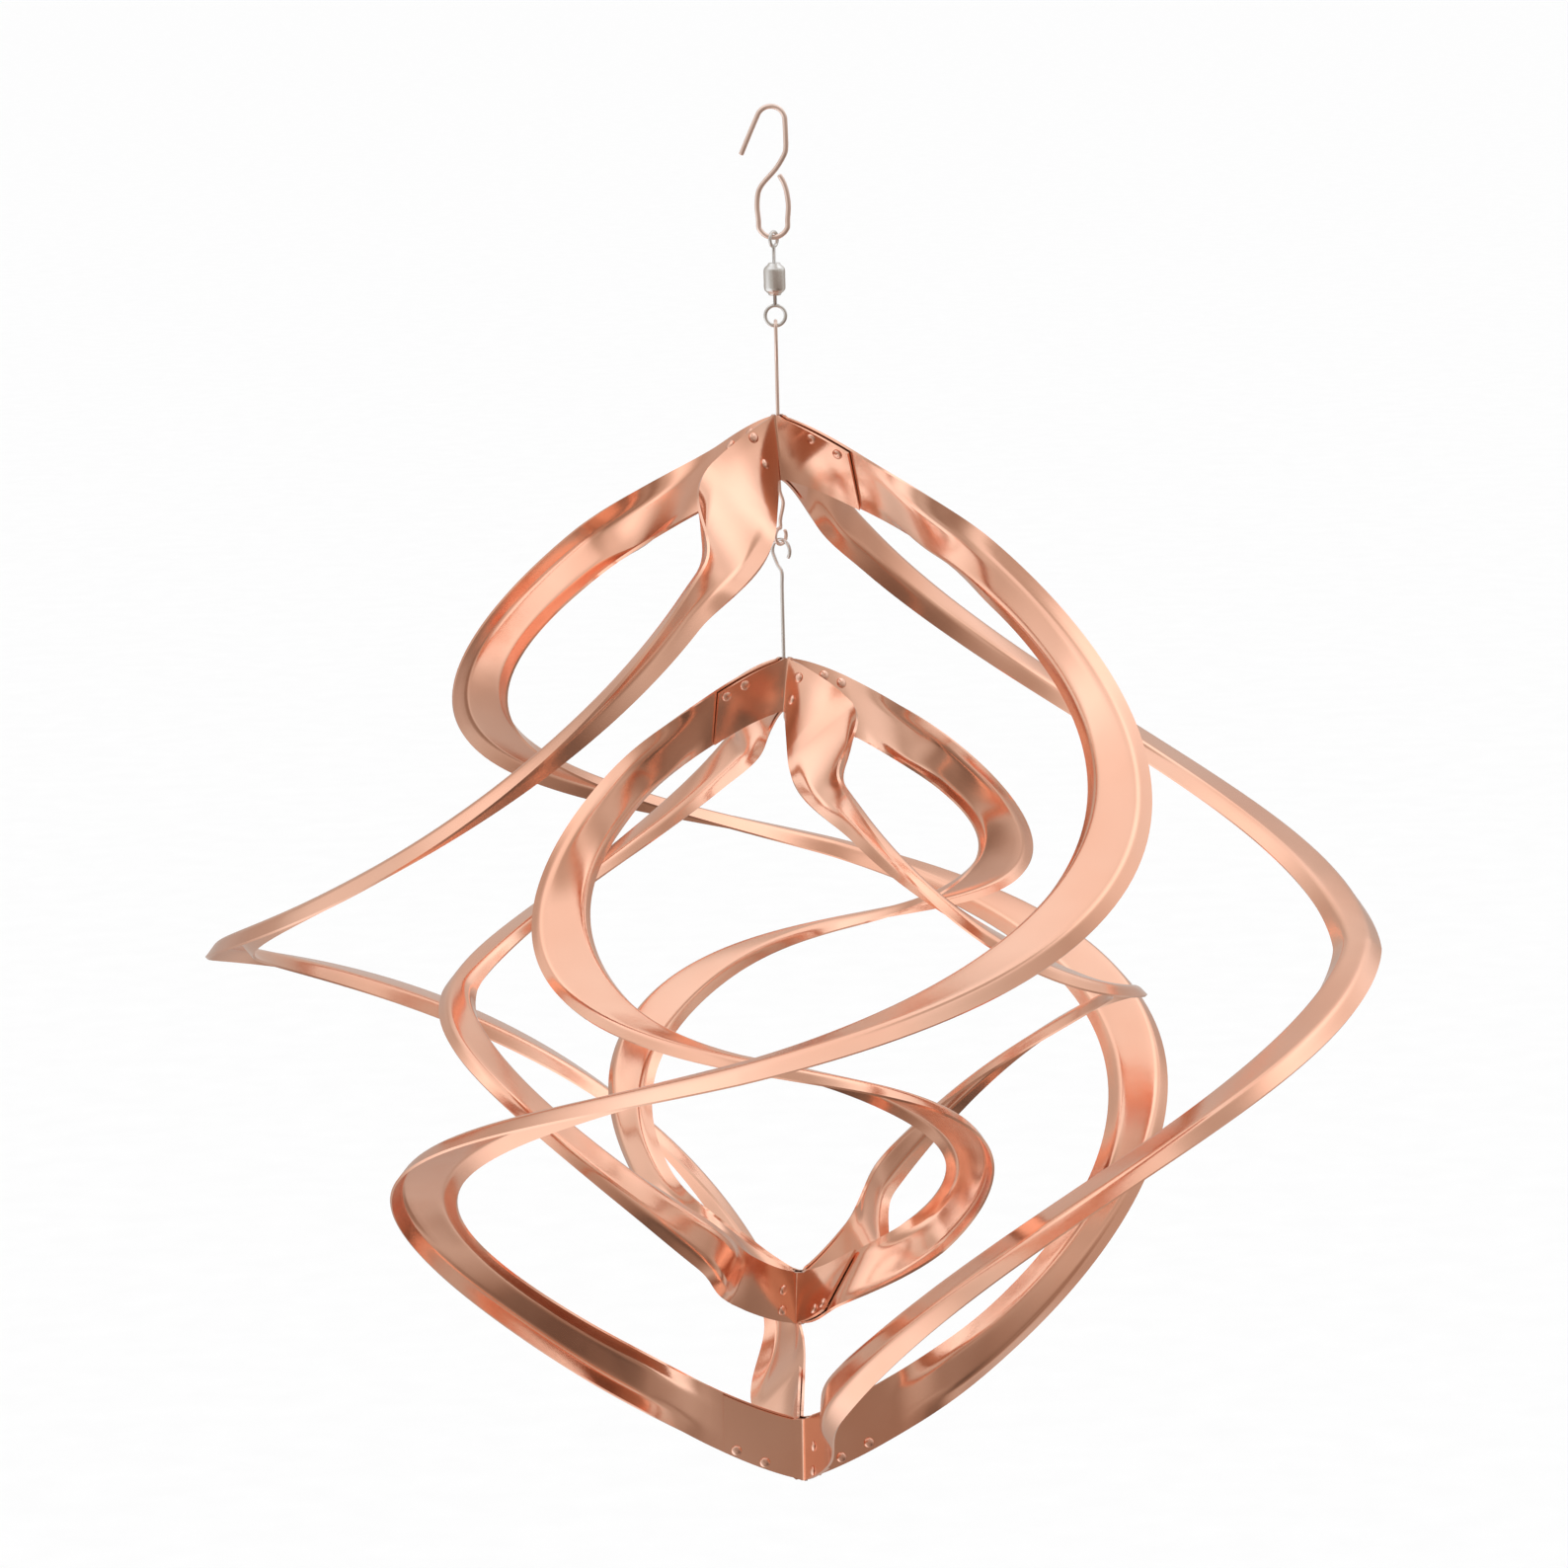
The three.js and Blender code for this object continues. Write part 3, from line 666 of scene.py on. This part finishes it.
def polished_metal(name, light, deep, rough, grain_bump):
    """Polished metal with slow tone drift, handling smudges and fine rolling lines along the strip."""
    material, nodes, links, shader = new_material(name)
    coords = nodes.new("ShaderNodeTexCoord")
    drift = noise(nodes, links, coords.outputs["Object"], DRIFT_SCALE, 3)
    smudge = noise(nodes, links, coords.outputs["Object"], SMUDGE_SCALE, 4)
    lines = noise(nodes, links, coords.outputs["UV"], LINE_SCALE, 5, LINE_STRETCH)
    tone = nodes.new("ShaderNodeMix")
    tone.data_type = "RGBA"
    tone.inputs["A"].default_value = (*light, 1)
    tone.inputs["B"].default_value = (*deep, 1)
    links.new(remap(nodes, links, drift, 0.35, 0.65, 0, 1), tone.inputs["Factor"])
    links.new(tone.outputs["Result"], shader.inputs["Base Color"])
    shader.inputs["Metallic"].default_value = 1
    blur = nodes.new("ShaderNodeMath")
    blur.operation = "ADD"
    links.new(remap(nodes, links, smudge, 0.4, 0.7, rough * 0.85, rough * 1.25), blur.inputs[0])
    links.new(remap(nodes, links, lines, 0.3, 0.7, -0.02, 0.03), blur.inputs[1])
    links.new(blur.outputs["Value"], shader.inputs["Roughness"])
    bump = nodes.new("ShaderNodeBump")
    bump.inputs["Strength"].default_value = grain_bump
    bump.inputs["Distance"].default_value = GRAIN_DEPTH
    links.new(lines, bump.inputs["Height"])
    ripple = noise(nodes, links, coords.outputs["Object"], RIPPLE_SCALE, 1)
    wave = nodes.new("ShaderNodeBump")
    wave.inputs["Strength"].default_value = RIPPLE_STRENGTH
    wave.inputs["Distance"].default_value = RIPPLE_DEPTH
    links.new(ripple, wave.inputs["Height"])
    links.new(bump.outputs["Normal"], wave.inputs["Normal"])
    links.new(wave.outputs["Normal"], shader.inputs["Normal"])
    return material


# ---------- build ----------
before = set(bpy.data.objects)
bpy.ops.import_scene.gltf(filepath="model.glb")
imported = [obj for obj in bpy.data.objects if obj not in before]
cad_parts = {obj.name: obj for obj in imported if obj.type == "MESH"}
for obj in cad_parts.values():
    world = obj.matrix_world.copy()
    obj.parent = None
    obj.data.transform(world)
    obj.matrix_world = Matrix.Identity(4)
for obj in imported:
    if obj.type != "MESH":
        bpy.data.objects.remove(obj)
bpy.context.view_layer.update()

copper = polished_metal("polished_copper_sheet", (0.94, 0.55, 0.4), (0.9, 0.47, 0.32), 0.16, 0.35)
rivet_copper = polished_metal("polished_copper_rivet", (0.93, 0.58, 0.45), (0.88, 0.5, 0.37), 0.2, 0.2)
wire_copper = polished_metal("copper_washed_wire", (0.95, 0.76, 0.67), (0.87, 0.66, 0.57), 0.34, 0.3)
steel = polished_metal("nickel_steel", (0.8, 0.77, 0.74), (0.68, 0.65, 0.62), 0.26, 0.3)

upper_ring_z = LOOP_BOTTOM_Z + HOOK_R + GAP + PIN_R - UPPER_RING_R
lower_ring_z = BARREL_BOTTOM_Z - STEM_REACH - LOWER_RING_R + PIN_R
hanger_top_z = lower_ring_z - LOWER_RING_R + PIN_R + GAP + HANGER_R
head_up_z = BARREL_TOP_Z - BARREL_WALL - GAP - HEAD_H / 2
head_low_z = BARREL_BOTTOM_Z + BARREL_WALL + GAP + HEAD_H / 2

make_piece("skin_hanging_hook", *tube(hook_path(), HOOK_R), "hanging_hook", "hook", "copper_wire",
           wire_copper)
upper_eye = swivel_eye(upper_ring_z, UPPER_RING_R, 60, upper_ring_z - UPPER_RING_R, head_up_z, -1)
make_piece("skin_swivel_upper_eye", *upper_eye, "swivel_upper_eye", "upper_eye", "steel", steel)
make_piece("skin_swivel_barrel", *swivel_barrel(), "swivel_barrel", "barrel", "steel", steel)
lower_eye = swivel_eye(lower_ring_z, LOWER_RING_R, 0, lower_ring_z + LOWER_RING_R, head_low_z, 1)
make_piece("skin_swivel_lower_eye", *lower_eye, "swivel_lower_eye", "lower_eye", "steel", steel)
make_piece("skin_outer_hanger_wire", *tube(outer_hanger_path(hanger_top_z), HANGER_R),
           "outer_hanger_wire", "outer_spinner", "copper_wire", wire_copper)
make_piece("skin_inner_hanger_wire", *tube(inner_hanger_path(), HANGER_R),
           "inner_hanger_wire", "inner_spinner", "steel", steel)
build_cage(OUTER, "outer_spinner", copper, rivet_copper)
build_cage(INNER, "inner_spinner", copper, rivet_copper)


# ---------- camera ----------
def photo_camera():
    """Level with the outer cage's middle first, then turned off it by the pitch, yaw and roll."""
    data = bpy.data.cameras.new("camera")
    data.lens = CAMERA_LENS
    data.sensor_width = CAMERA_SENSOR
    data.clip_start = 0.05
    data.clip_end = 50
    camera = bpy.data.objects.new("camera", data)
    bpy.context.scene.collection.objects.link(camera)
    e = rad(CAMERA_ELEVATION)
    centre = Vector((0, 0, OUTER["centre_z"] * MM))
    back = Vector((0, -math.cos(e), math.sin(e)))
    camera.location = centre + back * (CAMERA_DISTANCE * MM)
    look = (-back).to_track_quat("-Z", "Y")
    roll = Quaternion((0, 0, 1), rad(CAMERA_ROLL))
    pitch = Quaternion((1, 0, 0), rad(CAMERA_PITCH))
    yaw = Quaternion((0, 1, 0), rad(CAMERA_YAW))
    camera.rotation_mode = "QUATERNION"
    camera.rotation_quaternion = look @ pitch @ yaw @ roll
    bpy.context.scene.camera = camera


photo_camera()


# ---------- floor and light ----------
FLOOR_SIZE = 60               # metres
FLOOR_Z = -0.9                # metres, well below the spinner
BACKDROP_GLOW = 1.08
DOME_GLOW = 0.56              # the plain level of the dome that the metal mirrors
DOME_DRIFT = 0.12             # and how far it wanders up and down
# Soft boxes (+) and dark cards (-) on the dome: azimuth from the viewer's side towards the right,
# elevation, half angle of the even core, half angle where it has faded out, strength.
PANELS = [
    (0, 90, 26, 60, 0.6),         # overhead box
    (-80, -42, 18, 48, 0.7),      # low box on the left
    (-85, 25, 14, 44, 0.35),      # high box on the left
    (118, 38, 12, 38, 0.5),       # high box behind on the right
    (12, 12, 12, 42, -0.18),      # the dark side where the viewer stands
    (65, -22, 14, 44, -0.22),     # dark card low on the right
    (25, -52, 14, 42, -0.24),     # dark floor in front
    (150, -55, 5, 18, -0.35),     # narrow dark card low behind
    (45, 68, 6, 20, -0.55),       # small dark card above on the right
]
# The dome's colour by its glow: dim parts are warm, as if lit off copper, bright ones are white.
DOME_TINT = [(0.25, (1.0, 0.76, 0.62)), (0.6, (1.0, 0.96, 0.91)), (1.1, (0.97, 1.0, 1.03))]


def studio():
    bpy.ops.mesh.primitive_plane_add(size=FLOOR_SIZE, location=(0, 0, FLOOR_Z))
    floor = bpy.context.object
    floor.name = "studio_floor"
    material, nodes, links, shader = new_material("pale_floor")
    coords = nodes.new("ShaderNodeTexCoord")
    speckle = noise(nodes, links, coords.outputs["Object"], 30, 4)
    tone = nodes.new("ShaderNodeMix")
    tone.data_type = "RGBA"
    tone.inputs["A"].default_value = (0.9, 0.9, 0.9, 1)
    tone.inputs["B"].default_value = (0.94, 0.94, 0.94, 1)
    links.new(speckle, tone.inputs["Factor"])
    links.new(tone.outputs["Result"], shader.inputs["Base Color"])
    shader.inputs["Roughness"].default_value = 0.9
    floor.data.materials.append(material)
    floor.visible_glossy = False
    floor.visible_shadow = False


def panel_direction(azimuth, elevation):
    level = math.cos(rad(elevation))
    return (math.sin(rad(azimuth)) * level, -math.cos(rad(azimuth)) * level,
            math.sin(rad(elevation)))


def panel_glow(nodes, links, vector, azimuth, elevation, core, fade, strength):
    """Brightness that one panel adds: full inside its core, then fading out smoothly."""
    facing = nodes.new("ShaderNodeVectorMath")
    facing.operation = "DOT_PRODUCT"
    facing.inputs[1].default_value = panel_direction(azimuth, elevation)
    links.new(vector, facing.inputs[0])
    falloff = nodes.new("ShaderNodeMapRange")
    falloff.interpolation_type = "SMOOTHSTEP"
    falloff.inputs["From Min"].default_value = math.cos(rad(fade))
    falloff.inputs["From Max"].default_value = math.cos(rad(core))
    falloff.inputs["To Min"].default_value = 0
    falloff.inputs["To Max"].default_value = strength
    links.new(facing.outputs["Value"], falloff.inputs["Value"])
    return falloff.outputs["Result"]


def add_values(nodes, links, first, second):
    total = nodes.new("ShaderNodeMath")
    total.operation = "ADD"
    for socket, value in zip(total.inputs, (first, second)):
        if isinstance(value, (int, float)):
            socket.default_value = value
        else:
            links.new(value, socket)
    return total.outputs["Value"]


def world_light():
    """Plain white for the floor and the backdrop. What the metal mirrors is a soft dome with
    bright boxes and dark cards on it."""
    world = bpy.data.worlds.new("studio")
    bpy.context.scene.world = world
    world.use_nodes = True
    nodes = world.node_tree.nodes
    links = world.node_tree.links
    vector = nodes.new("ShaderNodeTexCoord").outputs["Generated"]
    unevenness = noise(nodes, links, vector, 1.6, 1)
    glow = remap(nodes, links, unevenness, 0.3, 0.7, DOME_GLOW - DOME_DRIFT,
                 DOME_GLOW + DOME_DRIFT)
    for panel in PANELS:
        glow = add_values(nodes, links, glow, panel_glow(nodes, links, vector, *panel))
    tint = nodes.new("ShaderNodeValToRGB")
    brightest = DOME_TINT[-1][0]
    tint.color_ramp.elements.new(0.5)
    for element, (level, colour) in zip(tint.color_ramp.elements, DOME_TINT):
        element.position = level / brightest
        element.color = (*colour, 1)
    scaled = remap(nodes, links, glow, 0, brightest, 0, 1)
    links.new(scaled, tint.inputs["Fac"])
    mirrored = nodes.new("ShaderNodeBackground")
    links.new(tint.outputs["Color"], mirrored.inputs["Color"])
    links.new(glow, mirrored.inputs["Strength"])
    backdrop = nodes.new("ShaderNodeBackground")
    backdrop.inputs["Color"].default_value = (1, 1, 1, 1)
    backdrop.inputs["Strength"].default_value = BACKDROP_GLOW
    path = nodes.new("ShaderNodeLightPath")
    choice = nodes.new("ShaderNodeMixShader")
    links.new(path.outputs["Is Glossy Ray"], choice.inputs["Fac"])
    links.new(backdrop.outputs["Background"], choice.inputs[1])
    links.new(mirrored.outputs["Background"], choice.inputs[2])
    links.new(choice.outputs["Shader"], nodes["World Output"].inputs["Surface"])


studio()
world_light()
bpy.context.scene.view_settings.view_transform = "Standard"
